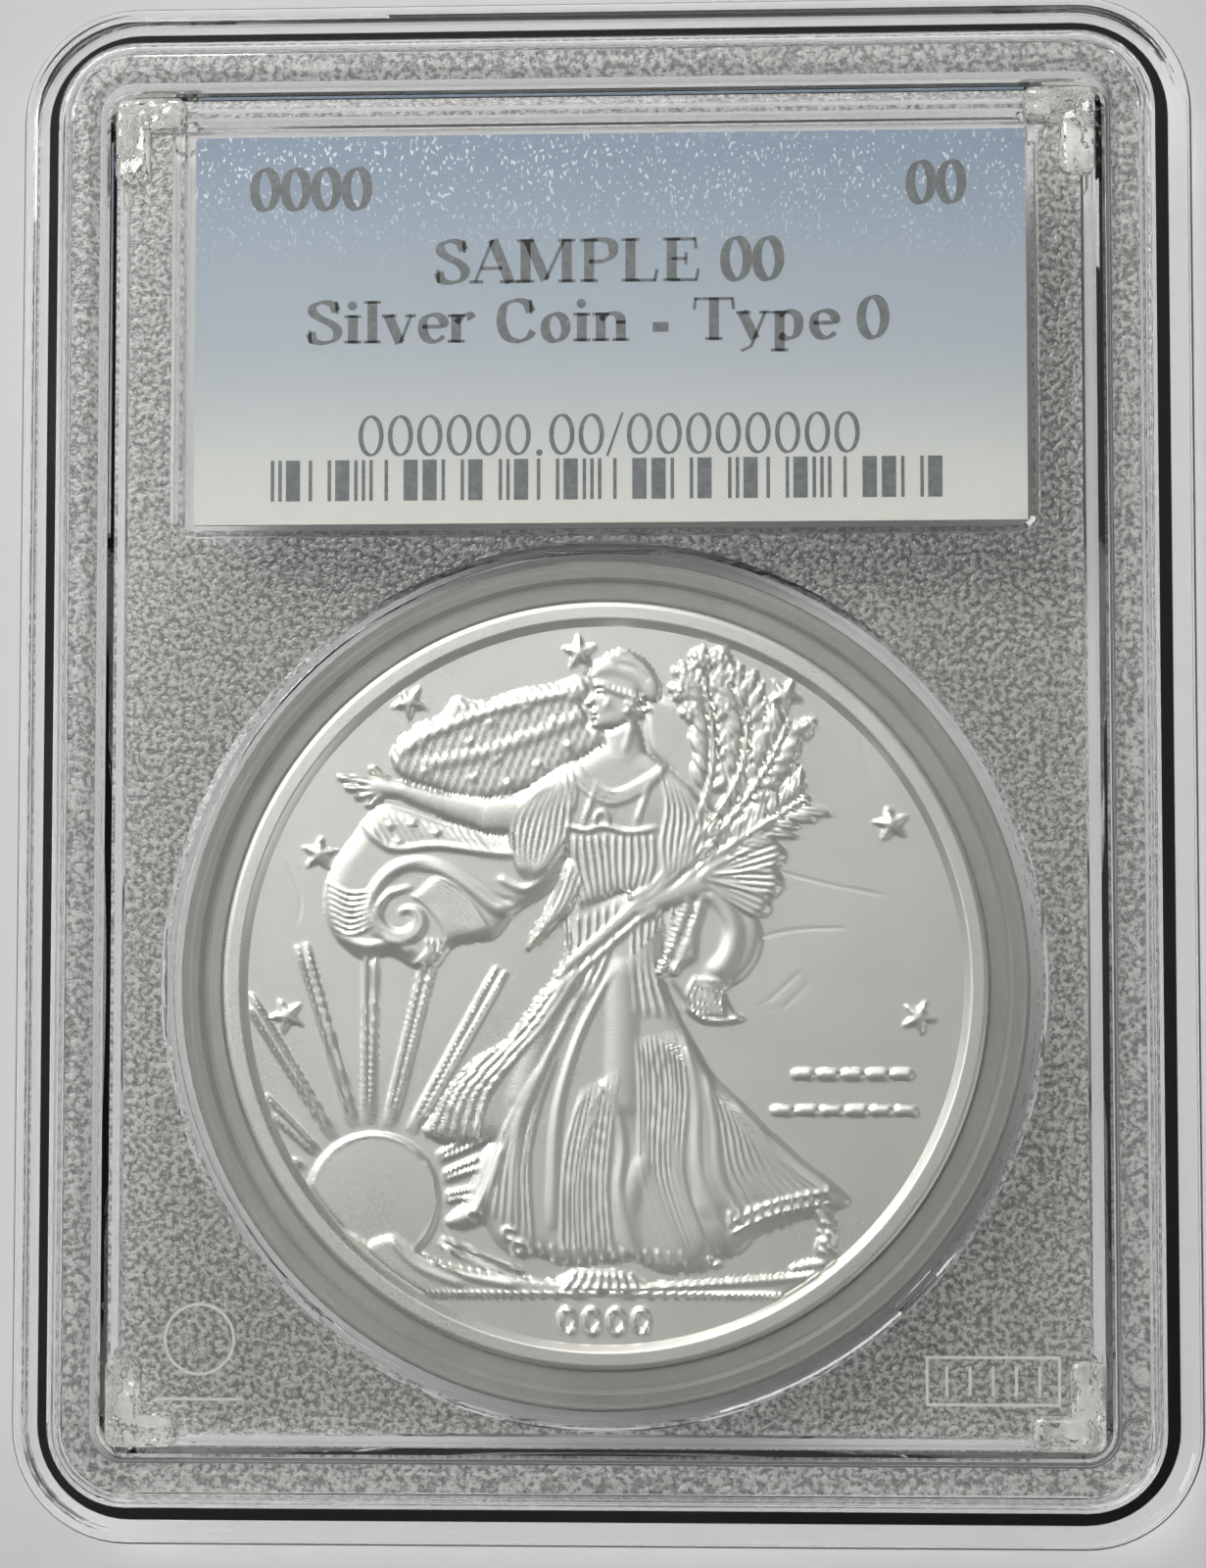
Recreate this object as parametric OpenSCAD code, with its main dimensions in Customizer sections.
// Graded coin slab: a silver-dollar-size coin in a clear ring, sealed with a paper label
// between two welded clear plastic shells. It lies on its back: +Z is the front, +Y the label end.
// The origin is the middle of the back, in the plane of the rear rim.

/* [Case] */
// Width of the case
case_w = 62.8; // [60:0.1:80]
// Length of the case, from the coin end to the label end
case_h = 82.2; // [82:0.1:110]
// Thickness of the case over both rims
case_t = 8; // [6.5:0.1:12]
// Radius of the four outer corners
corner_r = 6.3; // [6.2:0.1:10]

/* [Rim of each shell] */
// Height of the flange below the top of the rim
flange_drop = 1.1; // [0.8:0.05:1.6]
// Height of the frosted panel below the top of the rim
panel_drop = 1; // [0.6:0.05:1.3]
// Height of the channel floor below the top of the rim
channel_drop = 1.25; // [0.8:0.05:1.6]
// Distance from the case edge to the inner end of the flange
flange_in = 2.1; // [1.9:0.05:2.3]
// Distance from the case edge to the outer edge of the rim's top
rim_out = 2.95; // [2.8:0.05:3.2]
// Distance from the case edge to the inner edge of the rim's top
rim_in = 3.95; // [3.6:0.05:4.1]
// Distance from the case edge to the foot of the frosted slope
slope_in = 4.5; // [4.3:0.05:4.7]
// Distance from the case edge to the frosted panel
panel_in = 6; // [5.7:0.05:6.1]

/* [Weld] */
// Width of the weld tongue on the front shell
tongue_w = 0.8; // [0.5:0.05:1]
// Height of the weld tongue
tongue_h = 0.5; // [0.3:0.05:0.8]
// Gap between the shells at the parting line
parting_gap = 0.04; // [0.02:0.01:0.1]

/* [Coin] */
// Diameter of the coin over its reeded edge
coin_d = 40.6; // [30:0.1:40.9]
// Thickness of the coin over its rims
coin_t = 2.98; // [1.5:0.01:3.6]
// Width of the coin's flat rim
coin_rim_w = 0.74; // [0.4:0.02:1.5]
// Depth of the coin's field below its rim
field_drop = 0.38; // [0.1:0.01:0.4]
// Number of reeds round the coin's edge
reed_count = 201; // [60:1:240]
// Depth of the reeds
reed_depth = 0.2; // [0.05:0.01:0.3]

/* [Coin ring] */
// Radial clearance of the coin in its ring
coin_play = 0.05; // [0.02:0.01:0.1]
// Width of the ring's low inner web
web_w = 1.1; // [0.6:0.05:2]
// Width of the ring's tall outer wall
ring_wall = 0.95; // [0.6:0.05:2]
// Height of the outer wall above the web, on each face
web_drop = 0.42; // [0.1:0.02:0.6]
// Clearance of the ring in its socket
ring_play = 0.05; // [0.02:0.01:0.2]

/* [Coin window] */
// Gap between the coin's rim and the inside of each window
coin_gap = 0.16; // [0.1:0.01:0.4]
// Wall of the socket that holds the ring
socket_wall = 0.9; // [0.6:0.05:1.1]
// Ledge of flat window outside the socket's bore
window_ledge = 0.35; // [0.2:0.05:0.6]
// Width of the clear bevel round the window
bevel_w = 0.75; // [0.4:0.05:1]
// Depth of both windows below the frosted panel
window_drop = 0.3; // [0.1:0.02:0.4]
// Radius at which the two moulded nubs sit on the bevel, inside its outer edge
nub_inset = 0.5; // [0.3:0.05:0.6]

/* [Label] */
// Width of the label card
label_w = 44.5; // [30:0.1:44.5]
// Height of the label card
label_h = 21; // [12:0.1:21]
// Thickness of the label card
label_t = 0.35; // [0.2:0.05:0.6]
// Play of the label card in its pocket, on each side
label_play = 0.35; // [0.2:0.05:0.5]
// How far the card has slid towards +X in its pocket
label_shift = 0.25; // [0:0.05:0.3]
// Wall of the label pocket
pocket_wall = 1; // [0.6:0.05:1.2]
// Clear border of the label window round the card
label_border = 0.85; // [0.6:0.05:0.9]
// Corner radius of the label window
label_win_r = 1.3; // [1:0.1:3]
// Width of the ledge that the card rests on
shelf_w = 1.2; // [0.8:0.1:2]

/* [Tag and foil] */
// Width of the tag's carrier film
tag_w = 15; // [12:0.5:18]
// Height of the tag's carrier film
tag_h = 12; // [10:0.5:15]
// Thickness of the carrier film
tag_t = 0.1; // [0.05:0.01:0.2]
// Thickness of the antenna foil
antenna_t = 0.06; // [0.04:0.01:0.1]
// Width of the antenna's track
track_w = 0.4; // [0.3:0.05:0.5]
// Number of turns in the antenna
antenna_turns = 4; // [2:1:5]
// Side of the square chip
chip_size = 1.2; // [0.8:0.1:1.6]
// Width of the security foil
foil_w = 18; // [10:0.5:19]
// Height of the security foil
foil_h = 12; // [8:0.5:15]
// Thickness of the security foil
foil_t = 0.08; // [0.05:0.01:0.2]

/* [Stacking lugs] */
// Distance from the case edge to a lug's outer faces
lug_inset = 5.3; // [5:0.05:5.6]
// Length of a lug's arm across the case
lug_x = 3.8; // [3:0.1:5]
// Length of a lug's arm along the case
lug_y = 4.7; // [3.5:0.1:6]
// Width of a lug's arms
lug_w = 1.9; // [1.2:0.1:2.2]
// Radius of a lug's corners
lug_r = 0.6; // [0.45:0.05:0.6]
// Radius of the rounding along a lug's top edge
lug_round = 0.35; // [0.1:0.05:0.4]
// Height of a lug below the top of the rim
lug_drop = 0.15; // [0.1:0.05:0.5]

/* [Hidden] */

// Heights named "up" are measured from the parting plane outwards, for either shell.
half_t = case_t / 2;
flange_up = half_t - flange_drop;
panel_up = half_t - panel_drop;
channel_up = half_t - channel_drop;
window_up = panel_up - window_drop;
inside_up = coin_t / 2 + coin_gap;
half_gap = parting_gap / 2;
rim_cavity_up = half_t - 1.3;
cavity_edge = 3.1;
tongue_d = 1.25;
groove_play = 0.05;

coin_r = coin_d / 2;
ring_bore_r = coin_r + coin_play;
ring_r = ring_bore_r + web_w + ring_wall;
socket_r = ring_r + ring_play;
window_flat_r = socket_r + window_ledge;
window_r = window_flat_r + bevel_w;
panel_half_x = case_w / 2 - panel_in;
panel_half_y = case_h / 2 - panel_in;
coin_y = window_r - panel_half_y;

label_win_w = label_w + 2 * label_border;
label_win_h = label_h + 2 * label_border;
label_win_margin = 0.3;
label_y = panel_half_y - label_win_margin - label_win_h / 2;
pocket_w = label_w + 2 * label_play;
pocket_h = label_h + 2 * label_play;
label_gap = 0.03;
label_top = inside_up - label_gap;
label_bottom = label_top - label_t;

tag_x = 10.5;
foil_x = -10;
nub_angles = [226.5, 315.5];
nub_span = 6.5;
shell_colour = [0.86, 0.9, 0.9, 0.35];
overlap = 0.01;
$fn = 96;

// ---- Helpers ----

// Points of an arc about a centre, from one angle to another.
function arc(centre, r, from, to, steps) =
    [for (i = [0:steps]) let (a = from + (to - from) * i / steps)
        centre + r * [cos(a), sin(a)]];

// A rounded rectangle centred on the origin.
module round_rect(w, h, r) {
    square([w - 2 * r, h], center = true);
    square([w, h - 2 * r], center = true);
    for (sx = [-1, 1], sy = [-1, 1])
        translate([sx * (w / 2 - r), sy * (h / 2 - r)])
            circle(r = r);
}

// Sweeps a section round a rounded rectangle. The section's x is the distance in from the
// outline, from 0 to r, and its y is the height.
module sweep_rect(w, h, r, section) {
    turned = [for (p = section) [r - p[0], p[1]]];
    run = [w - 2 * r, h - 2 * r];
    for (side = [0:3]) {
        along = side % 2 == 0 ? run[1] : run[0];
        across = side % 2 == 0 ? run[0] : run[1];
        rotate([0, 0, side * 90]) {
            translate([across / 2, along / 2, 0])
                rotate([90, 0, 0])
                    linear_extrude(along)
                        polygon(turned);
            translate([across / 2, along / 2, 0])
                rotate_extrude(angle = 90)
                    polygon(turned);
        }
    }
}

// Outer surface of a shell's rim, from the parting line in to the panel.
rim_surface = concat(
    [[0, half_gap], [0, flange_up * 0.45]],
    arc([0.95, flange_up - 0.85], 0.85, 172, 90, 6),
    [[flange_in, flange_up]],
    arc([flange_in + 0.42, flange_up + 0.2], 0.22, 165, 90, 3),
    arc([rim_out + 0.2, half_t - 0.3], 0.3, 165, 90, 4),
    arc([rim_in, half_t - 0.25], 0.25, 90, 55, 2),
    [[slope_in, half_t - 0.42]],
    arc([slope_in + 0.95, half_t - 0.32], 0.93, 188, 270, 7),
    [[panel_in - 0.12, channel_up], [panel_in, panel_up - 0.06], [panel_in + 0.06, panel_up],
     [corner_r, panel_up]]);

// Inner surface of a shell's rim, from the panel back to the parting line.
rim_inside = [
    [corner_r, inside_up], [panel_in - 0.9, inside_up],
    [slope_in, rim_cavity_up - 0.1], [slope_in - 0.3, rim_cavity_up],
    [cavity_edge + 0.3, rim_cavity_up], [cavity_edge + 0.1, rim_cavity_up - 0.2],
    [cavity_edge, half_gap]];

// Weld tongue on the front shell's flange.
tongue = [
    [tongue_d + tongue_w, half_gap], [tongue_d + tongue_w - 0.05, -tongue_h],
    [tongue_d + 0.05, -tongue_h], [tongue_d, half_gap]];

// Groove in the rear shell's flange, which the tongue is welded into.
groove = [
    [tongue_d + tongue_w + groove_play, half_gap], [tongue_d + tongue_w + groove_play, tongue_h],
    [tongue_d - groove_play, tongue_h], [tongue_d - groove_play, half_gap]];

// Section of the bevel and the recess of a round window, as a cutter.
window_cutter = concat(
    [[0, window_up]],
    [[window_flat_r, window_up]],
    arc([window_flat_r, window_up + bevel_w], bevel_w, 292, 336, 4),
    [[window_r, panel_up], [window_r, half_t + 1], [0, half_t + 1]]);

// Section of the bevel of the label window, as a cutter. Its x runs in from the outline.
label_bevel = [
    [0, panel_up], [0.12, panel_up - window_drop * 0.55], [0.4, window_up],
    [label_win_r, window_up], [label_win_r, half_t + 1], [0, half_t + 1]];

// ---- Shells ----

// The plate inside the rim, with both windows recessed and the two nubs on the coin's bevel.
module panel_plate() {
    difference() {
        translate([0, 0, inside_up])
            linear_extrude(panel_up - inside_up)
                square([case_w - 2 * corner_r + overlap, case_h - 2 * corner_r + overlap],
                       center = true);
        translate([0, label_y, 0])
            label_window_cut();
    }
}

module label_window_cut() {
    sweep_rect(label_win_w, label_win_h, label_win_r, label_bevel);
    translate([0, 0, window_up])
        linear_extrude(half_t)
            square([label_win_w - 2 * label_win_r + overlap,
                    label_win_h - 2 * label_win_r + overlap], center = true);
}

module bevel_nubs() {
    for (a = nub_angles)
        translate([0, coin_y, 0])
            rotate([0, 0, a - nub_span / 2])
                rotate_extrude(angle = nub_span)
                    translate([window_r - nub_inset, 0])
                        polygon([[-0.42, window_up - 0.2], [-0.3, panel_up - 0.06],
                                 [0.2, panel_up - 0.06], [0.4, window_up - 0.2]]);
}

// A round wall that holds the ring, standing on the inside of the shell.
module socket() {
    translate([0, coin_y, 0])
        rotate_extrude()
            translate([socket_r, half_gap])
                square([socket_wall, inside_up - half_gap + overlap]);
}

// A rectangular wall round the label card.
module pocket() {
    translate([0, label_y, half_gap])
        linear_extrude(inside_up - half_gap + overlap)
            difference() {
                square([pocket_w + 2 * pocket_wall, pocket_h + 2 * pocket_wall], center = true);
                square([pocket_w, pocket_h], center = true);
            }
}

// Everything that both shells share, with the parting plane at z = 0.
module shell_half(joint_section) {
    difference() {
        union() {
            sweep_rect(case_w, case_h, corner_r,
                       concat(rim_surface, rim_inside, joint_section));
            panel_plate();
        }
        translate([0, coin_y, 0])
            rotate_extrude()
                polygon(window_cutter);
    }
    bevel_nubs();
    difference() {
        union() {
            socket();
            pocket();
        }
        translate([0, coin_y, half_gap - 1])
            cylinder(r = socket_r, h = inside_up - half_gap + 1);
        translate([0, label_y, half_gap - 1])
            linear_extrude(inside_up - half_gap + 1)
                square([pocket_w, pocket_h], center = true);
    }
}

// One arm of a stacking lug, with rounded corners and a rounded top edge.
module lug_arm(w, h) {
    foot = channel_up - 0.3;
    top = half_t - lug_drop;
    section = concat([[0, foot]], arc([lug_round, top - lug_round], lug_round, 180, 90, 4),
                     [[lug_r, top], [lug_r, foot]]);
    sweep_rect(w, h, lug_r, section);
    translate([0, 0, foot])
        linear_extrude(top - foot)
            square([w - 2 * lug_r + overlap, h - 2 * lug_r + overlap], center = true);
}

// The four L-shaped stacking lugs, one inside each corner.
module lugs() {
    for (sx = [0, 1], sy = [0, 1])
        mirror([sx, 0, 0])
            mirror([0, sy, 0])
                translate([case_w / 2 - lug_inset, case_h / 2 - lug_inset, 0]) {
                    translate([-lug_x / 2, -lug_w / 2, 0])
                        lug_arm(lug_x, lug_w);
                    translate([-lug_w / 2, -lug_y / 2, 0])
                        lug_arm(lug_w, lug_y);
                }
}

// Two faint generic marks moulded in the front panel's lower corners: a ring with a bar, and a
// framed row of bars.
module panel_marks() {
    mark_h = 0.08;
    line = 0.16;
    translate([4.2 - panel_half_x, 4.9 - panel_half_y, panel_up - overlap])
        linear_extrude(mark_h + overlap) {
            difference() {
                circle(r = 1.9);
                circle(r = 1.9 - line);
            }
            translate([-2.3, -3.2])
                square([4.6, line]);
        }
    translate([panel_half_x - 5.1, 2.9 - panel_half_y, panel_up - overlap])
        linear_extrude(mark_h + overlap) {
            difference() {
                square([7, 2.6], center = true);
                square([7 - 2 * line, 2.6 - 2 * line], center = true);
            }
            for (i = [-2:2])
                translate([i * 1.2, 0])
                    square([line, 1.5], center = true);
        }
}

module front_shell() {
    color(shell_colour)
        translate([0, 0, half_t]) {
            shell_half(tongue);
            lugs();
            panel_marks();
        }
}

// The ledge inside the label pocket that holds the card up against the front window.
module label_shelf() {
    outer_gap = 0.1;
    translate([0, label_y, 0])
        rotate([180, 0, 0])
            translate([0, 0, -inside_up - overlap])
                linear_extrude(inside_up + overlap + label_bottom)
                    difference() {
                        square([pocket_w - 2 * outer_gap, pocket_h - 2 * outer_gap], center = true);
                        square([pocket_w - 2 * (outer_gap + shelf_w),
                                pocket_h - 2 * (outer_gap + shelf_w)], center = true);
                    }
    translate([0, label_y, half_gap])
        linear_extrude(inside_up - half_gap + overlap)
            difference() {
                square([pocket_w + overlap, pocket_h + overlap], center = true);
                square([pocket_w - 2 * outer_gap - overlap, pocket_h - 2 * outer_gap - overlap],
                       center = true);
            }
}

module rear_shell() {
    color(shell_colour)
        translate([0, 0, half_t])
            mirror([0, 0, 1]) {
                shell_half(groove);
                label_shelf();
                lugs();
            }
}

// ---- Inside ----

// The clear ring: a tall outer wall and a lower web that reaches the coin's edge.
module coin_ring() {
    base = half_t - inside_up;
    top = half_t + inside_up - ring_play;
    step_r = ring_bore_r + web_w;
    edge = 0.12;
    color([0.87, 0.88, 0.72, 0.5])
        translate([0, coin_y, 0])
            rotate_extrude()
                polygon([
                    [ring_bore_r, base + web_drop + edge], [ring_bore_r + edge, base + web_drop],
                    [step_r - edge, base + web_drop], [step_r, base + edge], [step_r + edge, base],
                    [ring_r - edge, base], [ring_r, base + edge],
                    [ring_r, top - edge], [ring_r - edge, top],
                    [step_r + edge, top], [step_r, top - edge], [step_r - edge, top - web_drop],
                    [ring_bore_r + edge, top - web_drop], [ring_bore_r, top - web_drop - edge]]);
}

// The coin's blank: two raised rims with bevelled edges, and a band of reeds between them.
module coin() {
    bevel = 0.2;
    tip_drop = 0.03;
    band_depth = 0.6;
    low = half_t - coin_t / 2;
    high = half_t + coin_t / 2;
    root_r = coin_r - reed_depth;
    core_r = root_r - band_depth / 2;
    inner_r = coin_r - bevel - coin_rim_w;
    field_r = inner_r - field_drop;
    reeds = [for (i = [0:2 * reed_count - 1]) let (a = i * 180 / reed_count)
        (i % 2 == 0 ? coin_r - tip_drop : root_r) * [cos(a), sin(a)]];
    color([0.8, 0.8, 0.79])
        translate([0, coin_y, 0]) {
            rotate_extrude()
                polygon([
                    [0, low + field_drop], [field_r, low + field_drop], [inner_r, low],
                    [coin_r - bevel, low], [coin_r, low + bevel], [core_r, low + bevel],
                    [core_r, high - bevel], [coin_r, high - bevel], [coin_r - bevel, high],
                    [inner_r, high], [field_r, high - field_drop], [0, high - field_drop]]);
            translate([0, 0, low + bevel])
                linear_extrude(coin_t - 2 * bevel)
                    difference() {
                        polygon(reeds);
                        circle(r = root_r - band_depth);
                    }
        }
}

module label_card() {
    color([0.66, 0.72, 0.82])
        translate([label_shift, label_y, half_t + label_bottom])
            linear_extrude(label_t)
                square([label_w, label_h], center = true);
}

// The radio tag is stuck to the back of the card: carrier film, antenna coil and chip.
module tag_film() {
    color([0.9, 0.88, 0.75])
        translate([tag_x, label_y, half_t + label_bottom - tag_t])
            linear_extrude(tag_t)
                round_rect(tag_w, tag_h, 0.8);
}

// A square spiral track, each turn one pitch inside the last.
module tag_antenna() {
    pitch = 2 * track_w;
    margin = 0.8;
    half_x = tag_w / 2 - margin;
    half_y = tag_h / 2 - margin;
    color([0.8, 0.45, 0.3])
        translate([tag_x, label_y, half_t + label_bottom - tag_t - antenna_t])
            linear_extrude(antenna_t)
                for (k = [0:antenna_turns - 1]) {
                    x = half_x - k * pitch;
                    y = half_y - k * pitch;
                    translate([-x, y - track_w])
                        square([2 * x, track_w]);
                    translate([x - track_w, -y])
                        square([track_w, 2 * y]);
                    translate([-x, -y])
                        square([2 * x, track_w]);
                    translate([-x, -y])
                        square([track_w, 2 * y - pitch]);
                    if (k < antenna_turns - 1)
                        translate([-x, y - pitch - track_w])
                            square([pitch + track_w, track_w]);
                }
}

module tag_chip() {
    below = label_bottom - tag_t;
    chip_t = 0.18;
    color([0.12, 0.12, 0.13])
        translate([tag_x, label_y, half_t + below - chip_t])
            linear_extrude(chip_t)
                square(chip_size, center = true);
}

module security_foil() {
    color([0.75, 0.78, 0.8])
        translate([foil_x, label_y, half_t + label_bottom - foil_t])
            linear_extrude(foil_t)
                round_rect(foil_w, foil_h, 1);
}

front_shell();
rear_shell();
coin_ring();
coin();
label_card();
tag_film();
tag_antenna();
tag_chip();
security_foil();
